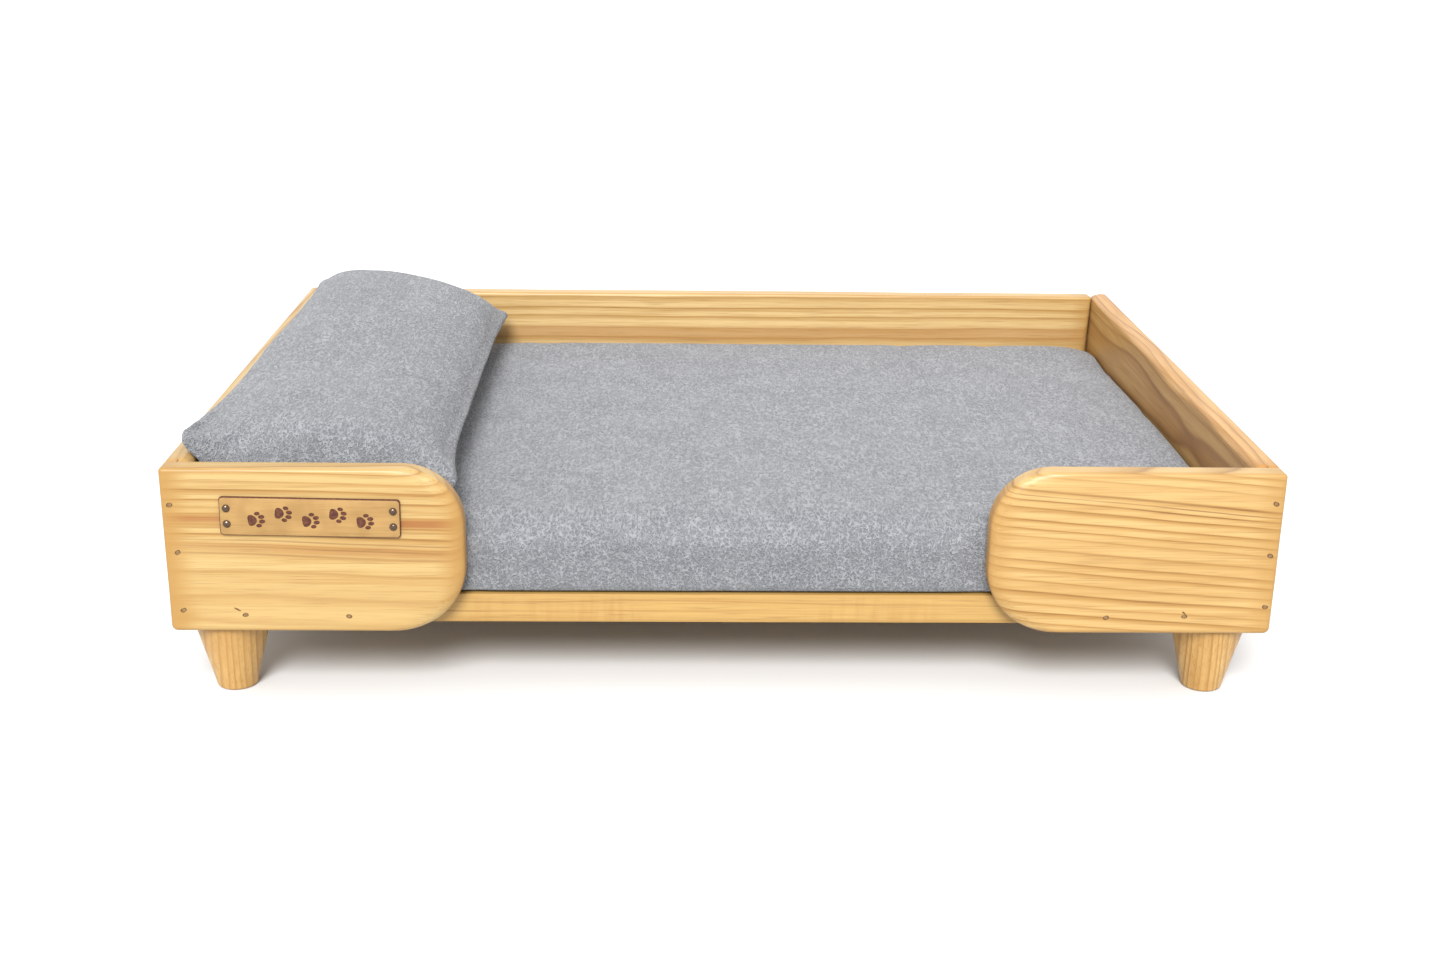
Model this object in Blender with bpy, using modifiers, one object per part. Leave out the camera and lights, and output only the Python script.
"""Dog bed: a low box of pine boards on four turned legs, open at the front, with a mattress
and a pillow.

Metres, +Z up. The front of the bed faces -Y, +X is on the right as seen from the front, and
the origin is on the floor under the middle of the frame.
"""

import math

import bmesh
import bpy
from mathutils import Vector

# Driving dimensions of the frame
WIDTH = 0.711
DEPTH = 0.508
BOARD_HEIGHT = 0.110
BOARD_THICK = 0.016
PLANK_THICK = 0.020
PLANK_WIDTH = 0.110
PLANK_COUNT = 4
EDGE_ROUND = 0.0022
GAP = 0.0003  # between pieces that touch

# Front panels: straight at the side of the bed, rounded where the way in begins
LEFT_PANEL_WIDTH = 0.1885
RIGHT_PANEL_WIDTH = 0.187
PANEL_TOP_RADIUS = 0.039
PANEL_LOW_RADIUS = 0.044
PANEL_FOOT_RADIUS = 0.004

# Legs, with a hanger bolt up into a tee nut in the base
LEG_HEIGHT = 0.050
LEG_TOP_RADIUS = 0.025
LEG_FOOT_RADIUS = 0.0135
LEG_FOOT_ROUND = 0.002
LEG_FROM_SIDE = 0.032
LEG_FROM_END = 0.030
BOLT_RADIUS = 0.004
BOLT_IN_LEG = 0.028
BOLT_IN_PLANK = 0.016
BOLT_POINT = 0.004
TEE_NUT_RADIUS = 0.0053
TEE_NUT_LENGTH = 0.011
TEE_NUT_FLANGE_RADIUS = 0.010
TEE_NUT_FLANGE = 0.0015

# Finishing nails, set a little below the surface
NAIL_LENGTH = 0.038
NAIL_HEAD_RADIUS = 0.00135
NAIL_HEAD = 0.0010
NAIL_SHANK_RADIUS = 0.0008
NAIL_POINT = 0.003
NAIL_SET = 0.0004

# Nails of the front panels: (distance from the outer edge, height above the lower edge).
# The first three enter the side board and the last two enter the base. They are hand driven.
LEFT_PANEL_NAILS = ((0.0056, 0.0860), (0.0082, 0.0540), (0.0087, 0.0146), (0.0478, 0.0115), (0.1137, 0.0106))
RIGHT_PANEL_NAILS = ((0.0058, 0.0902), (0.0056, 0.0547), (0.0050, 0.0191), (0.0573, 0.0122), (0.1086, 0.0112))
NAILS_IN_SIDE_BOARD = 3
BACK_NAIL_HEIGHTS = (0.018, 0.055, 0.092)

# Name plate on the front left panel, and its four tacks
PLATE_WIDTH = 0.113
PLATE_HEIGHT = 0.0254
PLATE_THICK = 0.0018
PLATE_CORNER = 0.002
PLATE_FROM_EDGE = 0.093
PLATE_ABOVE_EDGE = 0.0788
PLATE_SLOPE = math.radians(0.9)
TACK_FROM_END = 0.0045
TACK_SPACING = 0.0103
TACK_HEAD_RADIUS = 0.0025
TACK_HEAD = 0.0014
TACK_SHANK_RADIUS = 0.0006
TACK_LENGTH = 0.011

# Mattress: foam in a zipped cover
MATTRESS_SIDE_GAP = 0.0045
MATTRESS_FRONT_GAP = 0.001
MATTRESS_BACK_GAP = 0.004
MATTRESS_THICK = 0.047
MATTRESS_CORNER = 0.032
MATTRESS_EDGE = 0.010
COVER_THICK = 0.0012
MATTRESS_ZIP_LENGTH = 0.560

# Pillow: fibre fill in a zipped cover with a seam all round, leaning on the left side board
PILLOW_WIDTH = 0.174
PILLOW_LENGTH = 0.457
PILLOW_THICK = 0.074
PILLOW_PULL_IN = 0.007  # how far each side draws in between its corners
PILLOW_SEAM = 0.004
PILLOW_SEAM_ALLOWANCE = 0.007
PILLOW_LEAN = math.radians(9.6)
PILLOW_CENTRE = Vector((-0.2605, -0.0005, 0.1568))
PILLOW_ZIP_LENGTH = 0.090
PILLOW_SLIDER_GAP = 0.0009  # more than GAP, because the seam bows
PILLOW_CELLS_ACROSS = 8
PILLOW_CELLS_ALONG = 14

# Zip closures
TAPE_WIDTH = 0.0070
SLIDER_LENGTH = 0.010
SLIDER_WIDTH = 0.007
SLIDER_THICK = 0.0024
SLIDER_FROM_END = 0.004

# Facets
NAIL_SIDES = 8
BOLT_SIDES = 12
LEG_SIDES = 28
TACK_SIDES = 12
CORNER_STEPS = 10

# Places that follow from the driving dimensions
FRONT = -DEPTH / 2
BACK = DEPTH / 2
SIDE = WIDTH / 2
BOARD_LOW = LEG_HEIGHT
BOARD_TOP = LEG_HEIGHT + BOARD_HEIGHT
PLANK_TOP = LEG_HEIGHT + PLANK_THICK
INNER_DEPTH = DEPTH - 2 * BOARD_THICK
BACK_DIRECTION = Vector((0, 1, 0))


def clear_scene():
    for obj in list(bpy.data.objects):
        bpy.data.objects.remove(obj, do_unlink=True)


def new_collection(name, hidden=False):
    collection = bpy.data.collections.new(name)
    bpy.context.scene.collection.children.link(collection)
    collection.hide_render = hidden
    return collection


def new_material(name, colour, roughness, metallic=0.0):
    material = bpy.data.materials.new(name)
    material.use_nodes = True
    shader = material.node_tree.nodes["Principled BSDF"]
    shader.inputs["Base Color"].default_value = (*colour, 1.0)
    shader.inputs["Roughness"].default_value = roughness
    shader.inputs["Metallic"].default_value = metallic
    return material


def make_materials():
    return {
        "board": new_material("varnished_pine", (0.76, 0.48, 0.19), 0.38),
        "plank": new_material("base_pine", (0.74, 0.46, 0.17), 0.45),
        "leg": new_material("turned_pine", (0.72, 0.44, 0.16), 0.40),
        "nail": new_material("dark_nail_steel", (0.16, 0.11, 0.06), 0.50, 0.8),
        "hardware": new_material("zinc_plated_steel", (0.60, 0.61, 0.62), 0.35, 1.0),
        "plate": new_material("tan_plate", (0.55, 0.36, 0.17), 0.55),
        "tack": new_material("antique_tack_metal", (0.10, 0.08, 0.07), 0.30, 0.9),
        "fabric": new_material("blue_grey_fabric", (0.33, 0.36, 0.40), 0.95),
        "foam": new_material("white_foam", (0.85, 0.83, 0.76), 0.95),
        "fibre": new_material("polyester_fibre", (0.90, 0.90, 0.90), 0.95),
        "zip": new_material("zip_tape", (0.22, 0.24, 0.27), 0.80),
        "slider": new_material("zip_slider_metal", (0.45, 0.45, 0.46), 0.35, 1.0),
    }


def new_object(name, bm, collection, location=(0, 0, 0), parent=None):
    mesh = bpy.data.meshes.new(name)
    bm.to_mesh(mesh)
    bm.free()
    obj = bpy.data.objects.new(name, mesh)
    collection.objects.link(obj)
    obj.location = location
    obj.parent = parent
    return obj


def new_empty(name, collection, location, rotation=(0, 0, 0)):
    empty = bpy.data.objects.new(name, None)
    collection.objects.link(empty)
    empty.location = location
    empty.rotation_euler = rotation
    return empty


def as_part(obj, material):
    obj.data.materials.append(material)
    obj.data.shade_smooth()
    obj.data.set_sharp_from_angle(angle=math.radians(35))
    return obj


def as_cutter(obj):
    obj.hide_render = True
    obj.display_type = "WIRE"
    return obj


def round_edges(obj, width, segments=2):
    bevel = obj.modifiers.new("rounded_edges", "BEVEL")
    bevel.width = width
    bevel.segments = segments
    bevel.limit_method = "ANGLE"
    bevel.angle_limit = math.radians(40)
    return obj


def cut(target, *cutters):
    for cutter in cutters:
        difference = target.modifiers.new("cut_" + cutter.name, "BOOLEAN")
        difference.operation = "DIFFERENCE"
        difference.solver = "EXACT"
        difference.object = cutter


def block(name, low, high, collection, parent=None):
    """A box between two corners, with its origin at its centre."""
    low, high = Vector(low), Vector(high)
    bm = bmesh.new()
    bmesh.ops.create_cube(bm, size=1)
    bmesh.ops.scale(bm, vec=high - low, verts=bm.verts)
    return new_object(name, bm, collection, (low + high) / 2, parent)


def turned(name, profile, sides, collection, closed=False):
    """A body turned about local Z, from (radius, height) points down its outer side."""
    bm = bmesh.new()
    points = [bm.verts.new((radius, 0, height)) for radius, height in profile]
    for first, second in zip(points, points[1:]):
        bm.edges.new((first, second))
    if closed:
        bm.edges.new((points[-1], points[0]))
    obj = new_object(name, bm, collection)
    screw = obj.modifiers.new("turn", "SCREW")
    screw.axis = "Z"
    screw.angle = 2 * math.pi
    screw.steps = sides
    screw.render_steps = sides
    screw.use_merge_vertices = True
    screw.merge_threshold = 0.00001
    return obj


def aim(obj, location, outward):
    """Puts obj at location with its local +Z pointing outward."""
    obj.location = location
    obj.rotation_euler = Vector(outward).to_track_quat("Z", "Y").to_euler()
    return obj


def slab(name, outline, thickness, collection, parent=None):
    """A flat piece in local XY, cut to an outline and centred on its thickness."""
    curve = bpy.data.curves.new(name, "CURVE")
    curve.dimensions = "2D"
    curve.fill_mode = "BOTH"
    curve.extrude = thickness / 2
    spline = curve.splines.new("POLY")
    spline.points.add(len(outline) - 1)
    for point, (x, y) in zip(spline.points, outline):
        point.co = (x, y, 0, 1)
    spline.use_cyclic_u = True
    flat = bpy.data.objects.new(name + "_outline", curve)
    collection.objects.link(flat)
    bpy.context.view_layer.update()
    graph = bpy.context.evaluated_depsgraph_get()
    mesh = bpy.data.meshes.new_from_object(flat.evaluated_get(graph))
    bm = bmesh.new()
    bm.from_mesh(mesh)
    bmesh.ops.remove_doubles(bm, verts=bm.verts, dist=0.00001)
    bmesh.ops.recalc_face_normals(bm, faces=bm.faces)
    bmesh.ops.dissolve_limit(bm, angle_limit=0.001, verts=bm.verts, edges=bm.edges)
    bpy.data.objects.remove(flat)
    bpy.data.meshes.remove(mesh)
    return new_object(name, bm, collection, parent=parent)


def arc(centre, radius, start, end, steps):
    """Points on an arc, with the angles in degrees."""
    points = []
    for i in range(steps + 1):
        angle = math.radians(start + (end - start) * i / steps)
        points.append((centre[0] + radius * math.cos(angle), centre[1] + radius * math.sin(angle)))
    return points


def rounded_rectangle(width, height, radius, steps):
    """Outline of a rectangle about the origin with rounded corners."""
    x, y = width / 2 - radius, height / 2 - radius
    corners = ((x, y, 0), (-x, y, 90), (-x, -y, 180), (x, -y, 270))
    outline = []
    for corner_x, corner_y, start in corners:
        outline += arc((corner_x, corner_y), radius, start, start + 90, steps)
    return outline


def nail_profile(clearance=0.0):
    """Down the outer side of a nail, or of its hole when a clearance is given."""
    top = 0.002 if clearance else -NAIL_SET
    head_low = -NAIL_SET - NAIL_HEAD - clearance
    head = NAIL_HEAD_RADIUS + clearance
    shank = NAIL_SHANK_RADIUS + clearance
    end = -NAIL_LENGTH - 2 * clearance
    return ((0, top), (head, top), (head, head_low), (shank, head_low), (shank, end + NAIL_POINT), (0, end))


def nail(name, head_at, outward, materials, parts, cutters, *through):
    """A nail with its head on a face, and its hole in each piece that it goes through."""
    part = turned(name, nail_profile(), NAIL_SIDES, parts)
    as_part(aim(part, head_at, outward), materials["nail"])
    hole = turned(name + "_hole", nail_profile(GAP), NAIL_SIDES, cutters)
    as_cutter(aim(hole, head_at, outward))
    for piece in through:
        cut(piece, hole)


def make_side_board(name, side, materials, parts):
    """side is -1 for left and 1 for right. The board stands behind the front panel's end."""
    low = (min(side * SIDE, side * (SIDE - BOARD_THICK)), FRONT + BOARD_THICK + GAP, BOARD_LOW)
    high = (max(side * SIDE, side * (SIDE - BOARD_THICK)), BACK, BOARD_TOP)
    return round_edges(as_part(block(name, low, high, parts), materials["board"]), EDGE_ROUND)


def make_back_board(materials, parts):
    reach = SIDE - BOARD_THICK - GAP
    low = (-reach, BACK - BOARD_THICK, BOARD_LOW)
    high = (reach, BACK, BOARD_TOP)
    return round_edges(as_part(block("back_board", low, high, parts), materials["board"]), EDGE_ROUND)


def front_panel_outline(width):
    """From the outer edge at x = 0 to the rounded inner end, standing on y = 0."""
    low_centre = (width - PANEL_LOW_RADIUS, PANEL_LOW_RADIUS)
    top_centre = (width - PANEL_TOP_RADIUS, BOARD_HEIGHT - PANEL_TOP_RADIUS)
    foot_centre = (PANEL_FOOT_RADIUS, PANEL_FOOT_RADIUS)
    outline = arc(low_centre, PANEL_LOW_RADIUS, -90, 0, CORNER_STEPS)
    outline += arc(top_centre, PANEL_TOP_RADIUS, 0, 90, CORNER_STEPS)
    outline.append((0, BOARD_HEIGHT))
    outline += arc(foot_centre, PANEL_FOOT_RADIUS, 180, 270, 3)
    return outline


def make_front_panel(name, side, width, materials, parts):
    outline = [(-side * x, y) for x, y in front_panel_outline(width)]
    panel = slab(name, outline, BOARD_THICK, parts)
    panel.rotation_euler = (math.radians(90), 0, 0)
    panel.location = (side * SIDE, FRONT + BOARD_THICK / 2, BOARD_LOW)
    return round_edges(as_part(panel, materials["board"]), EDGE_ROUND)


def make_base_planks(materials, parts):
    """Planks from side to side, evenly spaced between the front panels and the back board."""
    reach = SIDE - BOARD_THICK - GAP
    room = INNER_DEPTH - 2 * GAP
    pitch = (room - PLANK_WIDTH) / (PLANK_COUNT - 1)
    planks = []
    for i in range(PLANK_COUNT):
        front = FRONT + BOARD_THICK + GAP + i * pitch
        low = (-reach, front, BOARD_LOW)
        high = (reach, front + PLANK_WIDTH, PLANK_TOP)
        plank = as_part(block(f"base_plank_{i + 1}", low, high, parts), materials["plank"])
        planks.append(round_edges(plank, EDGE_ROUND))
    return planks


def nail_frame(boards, planks, materials, parts, cutters):
    """Panels to side boards and base, side boards to the back board and to the planks."""
    for label, side, places in (("left", -1, LEFT_PANEL_NAILS), ("right", 1, RIGHT_PANEL_NAILS)):
        side_board = boards[label]
        panel = boards["front_" + label]
        for i, (from_edge, height) in enumerate(places):
            behind = side_board if i < NAILS_IN_SIDE_BOARD else planks[0]
            head_at = (side * (SIDE - from_edge), FRONT, BOARD_LOW + height)
            name = f"front_{label}_nail_{i + 1}"
            nail(name, head_at, -BACK_DIRECTION, materials, parts, cutters, panel, behind)
        outward = Vector((side, 0, 0))
        for i, height in enumerate(BACK_NAIL_HEIGHTS):
            head_at = (side * SIDE, BACK - BOARD_THICK / 2, BOARD_LOW + height)
            name = f"back_{label}_nail_{i + 1}"
            nail(name, head_at, outward, materials, parts, cutters, side_board, boards["back"])
        for i, plank in enumerate(planks):
            head_at = (side * SIDE, plank.location.y, BOARD_LOW + PLANK_THICK / 2)
            name = f"plank_{label}_nail_{i + 1}"
            nail(name, head_at, outward, materials, parts, cutters, side_board, plank)


def leg_profile():
    """Up the bolt's blind hole, over the flat top, and down the tapered side to the foot."""
    top = LEG_HEIGHT - GAP
    hole = BOLT_RADIUS + GAP
    hole_end = LEG_HEIGHT - BOLT_IN_LEG - GAP
    foot_low = LEG_FOOT_RADIUS - LEG_FOOT_ROUND
    return (
        (0, hole_end),
        (hole, hole_end + BOLT_POINT),
        (hole, top),
        (LEG_TOP_RADIUS - 0.0008, top),
        (LEG_TOP_RADIUS, top - 0.0008),
        (LEG_FOOT_RADIUS, LEG_FOOT_ROUND),
        (LEG_FOOT_RADIUS - 0.3 * LEG_FOOT_ROUND, 0.3 * LEG_FOOT_ROUND),
        (foot_low, 0),
        (0, 0),
    )


def make_leg(place, at, plank, materials, parts, cutters):
    """A turned leg, its hanger bolt, and the tee nut let into the top of the plank."""
    leg = turned(f"leg_{place}", leg_profile(), LEG_SIDES, parts)
    leg.location = at
    as_part(leg, materials["leg"])

    bolt_low = LEG_HEIGHT - BOLT_IN_LEG
    bolt_top = LEG_HEIGHT + BOLT_IN_PLANK
    bolt_shape = ((0, bolt_top), (BOLT_RADIUS, bolt_top), (BOLT_RADIUS, bolt_low + BOLT_POINT), (0, bolt_low))
    bolt = turned(f"hanger_bolt_{place}", bolt_shape, BOLT_SIDES, parts)
    bolt.location = at
    as_part(bolt, materials["hardware"])

    nut_top = PLANK_TOP - GAP
    flange_low = nut_top - TEE_NUT_FLANGE
    barrel_low = nut_top - TEE_NUT_LENGTH
    thread = BOLT_RADIUS + GAP
    nut_shape = (
        (thread, nut_top),
        (TEE_NUT_FLANGE_RADIUS, nut_top),
        (TEE_NUT_FLANGE_RADIUS, flange_low),
        (TEE_NUT_RADIUS, flange_low),
        (TEE_NUT_RADIUS, barrel_low),
        (thread, barrel_low),
    )
    nut = turned(f"tee_nut_{place}", nut_shape, BOLT_SIDES, parts, closed=True)
    nut.location = at
    as_part(nut, materials["hardware"])

    above, below = PLANK_TOP + 0.002, BOARD_LOW - 0.002
    hole_shape = (
        (0, above),
        (TEE_NUT_FLANGE_RADIUS + GAP, above),
        (TEE_NUT_FLANGE_RADIUS + GAP, flange_low - GAP),
        (TEE_NUT_RADIUS + GAP, flange_low - GAP),
        (TEE_NUT_RADIUS + GAP, below),
        (0, below),
    )
    hole = turned(f"tee_nut_{place}_hole", hole_shape, BOLT_SIDES, cutters)
    hole.location = at
    cut(plank, as_cutter(hole))


def make_legs(planks, materials, parts, cutters):
    for depth_name, y, plank in (
        ("front", FRONT + LEG_FROM_END, planks[0]),
        ("back", BACK - LEG_FROM_END, planks[-1]),
    ):
        for side_name, side in (("left", -1), ("right", 1)):
            at = (side * (SIDE - LEG_FROM_SIDE), y, 0)
            make_leg(f"{depth_name}_{side_name}", at, plank, materials, parts, cutters)


def tack_profile(clearance=0.0):
    """A domed head on the plate, and a shank through the plate into the panel."""
    shank = TACK_SHANK_RADIUS + clearance
    end = -TACK_LENGTH - 2 * clearance
    if clearance:
        return ((0, 0.002), (shank, 0.002), (shank, end + NAIL_POINT), (0, end))
    dome = [(TACK_HEAD_RADIUS * math.sin(a), GAP + TACK_HEAD * math.cos(a)) for a in
            (math.radians(step * 30) for step in range(4))]
    return (*dome, (shank, GAP), (shank, end + NAIL_POINT), (0, end))


def make_name_plate(panel, materials, parts, cutters):
    """A thin blank plate with two tacks at each end, hung a touch out of level."""
    centre = (-SIDE + PLATE_FROM_EDGE, FRONT - GAP, BOARD_LOW + PLATE_ABOVE_EDGE)
    mounting = new_empty("name_plate_place", parts, centre, (math.radians(90), PLATE_SLOPE, 0))
    outline = rounded_rectangle(PLATE_WIDTH, PLATE_HEIGHT, PLATE_CORNER, 3)
    plate = slab("name_plate", outline, PLATE_THICK, parts, mounting)
    plate.location = (0, 0, PLATE_THICK / 2)
    as_part(plate, materials["plate"])
    round_edges(plate, 0.0003, 1)
    for i, (end, row) in enumerate(((-1, 1), (-1, -1), (1, 1), (1, -1))):
        at = (end * (PLATE_WIDTH / 2 - TACK_FROM_END), row * TACK_SPACING / 2, PLATE_THICK)
        tack = turned(f"plate_tack_{i + 1}", tack_profile(), TACK_SIDES, parts)
        tack.parent = mounting
        tack.location = at
        as_part(tack, materials["tack"])
        hole = as_cutter(turned(f"plate_tack_{i + 1}_hole", tack_profile(GAP), TACK_SIDES, cutters))
        hole.parent = mounting
        hole.location = at
        cut(plate, hole)
        cut(panel, hole)


def mattress_form(name, inset, collection, parent):
    """The mattress shape, made smaller all round by inset."""
    width = WIDTH - 2 * BOARD_THICK - 2 * MATTRESS_SIDE_GAP - 2 * inset
    depth = INNER_DEPTH - MATTRESS_FRONT_GAP - MATTRESS_BACK_GAP - 2 * inset
    outline = rounded_rectangle(width, depth, MATTRESS_CORNER - inset, 6)
    form = slab(name, outline, MATTRESS_THICK - 2 * inset, collection, parent)
    return round_edges(form, MATTRESS_EDGE - inset, 3)


def make_mattress(materials, parts, cutters):
    """Cover with an opening along the back, foam core inside, and the zip that closes it."""
    shift = (MATTRESS_FRONT_GAP - MATTRESS_BACK_GAP) / 2
    middle = new_empty("mattress", parts, (0, shift, PLANK_TOP + GAP + MATTRESS_THICK / 2))
    back_face = (INNER_DEPTH - MATTRESS_FRONT_GAP - MATTRESS_BACK_GAP) / 2
    cover = as_part(mattress_form("mattress_cover", 0, parts, middle), materials["fabric"])
    cavity = as_cutter(mattress_form("mattress_cavity", COVER_THICK, cutters, middle))
    core = mattress_form("mattress_core", COVER_THICK + GAP, parts, middle)
    as_part(core, materials["foam"])

    half_length, half_width = MATTRESS_ZIP_LENGTH / 2, TAPE_WIDTH / 2
    inner = back_face - COVER_THICK
    slot = block("mattress_zip_slot", (-half_length, inner - 0.001, -half_width),
                 (half_length, back_face + 0.001, half_width), cutters, middle)
    cut(cover, cavity, as_cutter(slot))
    tape = block("mattress_zip", (GAP - half_length, inner, GAP - half_width),
                 (half_length - GAP, back_face - GAP, half_width - GAP), parts, middle)
    as_part(tape, materials["zip"])
    slider_end = half_length - SLIDER_FROM_END
    slider = block("mattress_zip_slider", (slider_end - SLIDER_LENGTH, back_face + GAP, -SLIDER_WIDTH / 2),
                   (slider_end, back_face + GAP + SLIDER_THICK, SLIDER_WIDTH / 2), parts, middle)
    round_edges(as_part(slider, materials["slider"]), 0.0008)


def pillow_form(name, inset_plan, inset_thick, collection, parent):
    """A cushion thickest along its middle, falling to a thin seam on all four sides."""
    half_width = PILLOW_WIDTH / 2 - inset_plan
    half_length = PILLOW_LENGTH / 2 - inset_plan
    half_thick = PILLOW_THICK / 2 - inset_thick
    half_seam = PILLOW_SEAM / 2 - min(inset_thick, PILLOW_SEAM / 4)
    bm = bmesh.new()
    bmesh.ops.create_cube(bm, size=2)
    for axis, cells in ((0, PILLOW_CELLS_ACROSS), (1, PILLOW_CELLS_ALONG)):
        lengthwise = [e for e in bm.edges if abs(e.verts[0].co[axis] - e.verts[1].co[axis]) > 1]
        bmesh.ops.subdivide_edges(bm, edges=lengthwise, cuts=cells - 1, use_grid_fill=True)
    for vert in bm.verts:
        # even steps of angle put more rows of points near the seam, where the form turns fastest
        across = math.sin(vert.co.x * math.pi / 2)
        along = math.sin(vert.co.y * math.pi / 2)
        crown = ((1 - across**2) * (1 - along**6)) ** 0.7
        half = half_seam + (half_thick - half_seam) * crown
        x = across * (half_width - PILLOW_PULL_IN * (1 - along**6))
        y = along * (half_length - PILLOW_PULL_IN * (1 - across**6))
        vert.co = (x, y, math.copysign(half, vert.co.z))
    # every form gets the same diagonals, so that cover and fill stay apart on the twisted faces
    bmesh.ops.triangulate(bm, faces=bm.faces, quad_method="FIXED")
    return new_object(name, bm, collection, parent=parent)


def make_pillow(materials, parts, cutters):
    """Cover with an opening in its back seam, fibre fill inside, and the zip that closes it."""
    middle = new_empty("pillow", parts, PILLOW_CENTRE, (0, PILLOW_LEAN, 0))
    cover = as_part(pillow_form("pillow_cover", 0, 0, parts, middle), materials["fabric"])
    cavity = as_cutter(pillow_form("pillow_cavity", PILLOW_SEAM_ALLOWANCE, COVER_THICK, cutters, middle))
    fill = pillow_form("pillow_fill", PILLOW_SEAM_ALLOWANCE + 0.0006, COVER_THICK + 0.0006, parts, middle)
    as_part(fill, materials["fibre"])

    half_length = PILLOW_ZIP_LENGTH / 2
    seam_end = PILLOW_LENGTH / 2 - PILLOW_PULL_IN
    slot_half = 0.0012
    slot = block("pillow_zip_slot", (-half_length, seam_end - PILLOW_SEAM_ALLOWANCE - 0.002, -slot_half),
                 (half_length, seam_end + 0.001, slot_half), cutters, middle)
    cut(cover, cavity, as_cutter(slot))
    tape = block("pillow_zip", (GAP - half_length, seam_end - 0.006, GAP - slot_half),
                 (half_length - GAP, seam_end - GAP, slot_half - GAP), parts, middle)
    as_part(tape, materials["zip"])
    slider_end = half_length - SLIDER_FROM_END
    slider_low = seam_end + PILLOW_SLIDER_GAP
    slider = block("pillow_zip_slider", (slider_end - SLIDER_LENGTH, slider_low, -SLIDER_WIDTH / 2),
                   (slider_end, slider_low + SLIDER_THICK, SLIDER_WIDTH / 2), parts, middle)
    round_edges(as_part(slider, materials["slider"]), 0.0008)


def build():
    clear_scene()
    parts = new_collection("dog_bed")
    cutters = new_collection("cutters", hidden=True)
    materials = make_materials()
    boards = {
        "left": make_side_board("left_side_board", -1, materials, parts),
        "right": make_side_board("right_side_board", 1, materials, parts),
        "back": make_back_board(materials, parts),
        "front_left": make_front_panel("front_left_panel", -1, LEFT_PANEL_WIDTH, materials, parts),
        "front_right": make_front_panel("front_right_panel", 1, RIGHT_PANEL_WIDTH, materials, parts),
    }
    planks = make_base_planks(materials, parts)
    nail_frame(boards, planks, materials, parts, cutters)
    make_legs(planks, materials, parts, cutters)
    make_name_plate(boards["front_left"], materials, parts, cutters)
    make_mattress(materials, parts, cutters)
    make_pillow(materials, parts, cutters)


build()
